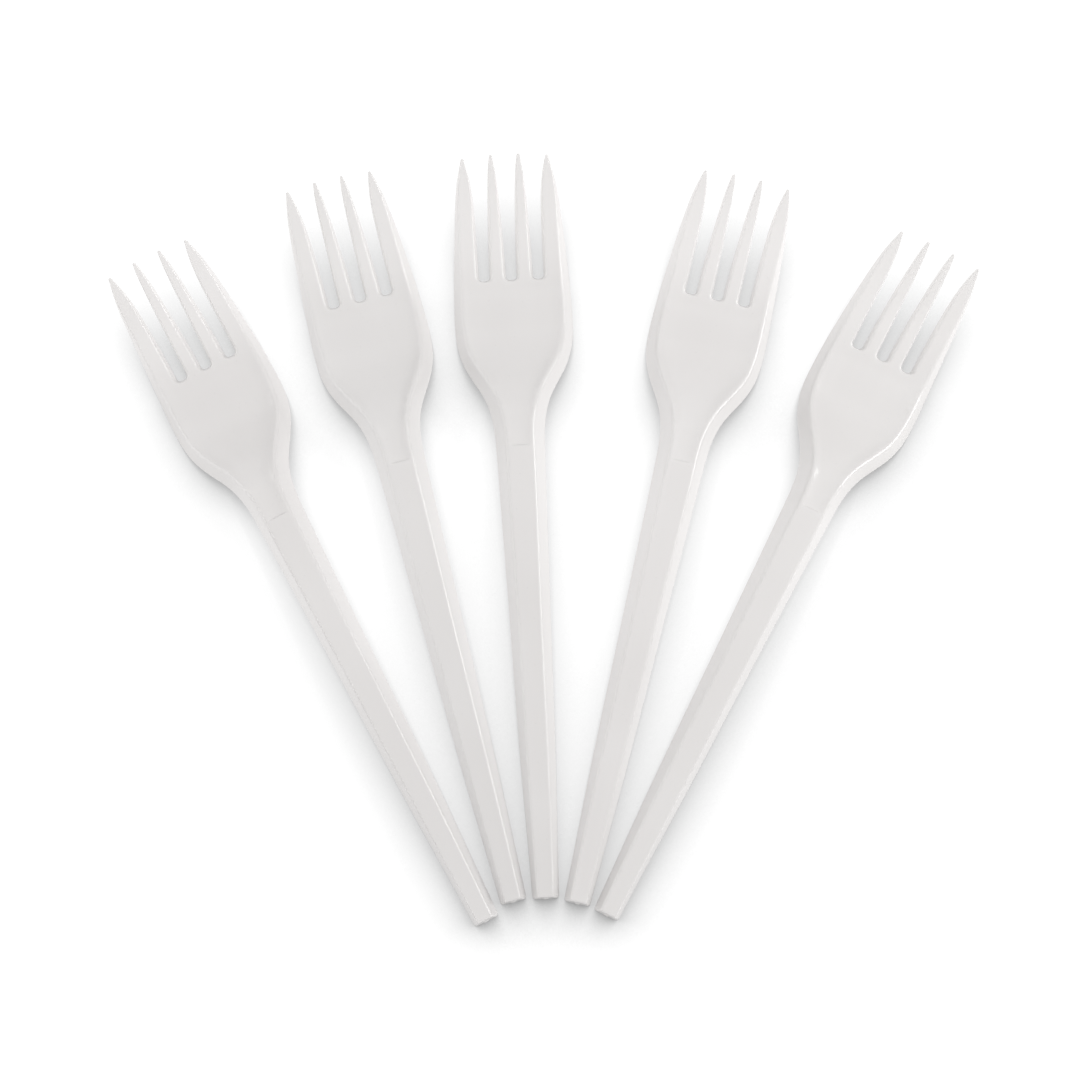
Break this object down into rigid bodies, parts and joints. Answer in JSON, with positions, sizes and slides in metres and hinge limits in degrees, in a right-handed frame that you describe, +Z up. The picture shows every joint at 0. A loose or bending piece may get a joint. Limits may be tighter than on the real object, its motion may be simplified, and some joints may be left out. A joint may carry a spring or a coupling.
{
  "type": "plastic cutlery pack",
  "caption": "Disposable plastic forks laid out in a fan, each a one-piece moulding with a channel handle, a shallow dished head and long tapering tines.",
  "frame": {"origin": "middle of the pack's bounding box in plan, on the surface that the forks lie on", "axes": "+X across the fan to the right, +Y from the handle ends towards the tines, +Z up out of the surface"},
  "size_m": [0.1904, 0.1708, 0.0106],
  "materials": {
    "white_plastic": "glossy off-white injection-moulded polystyrene"
  },
  "bodies": {
    "root": {"fork_far_left": "white_plastic", "fork_left": "white_plastic", "fork_middle": "white_plastic", "fork_right": "white_plastic", "fork_far_right": "white_plastic"}
  },
  "joints": []
}
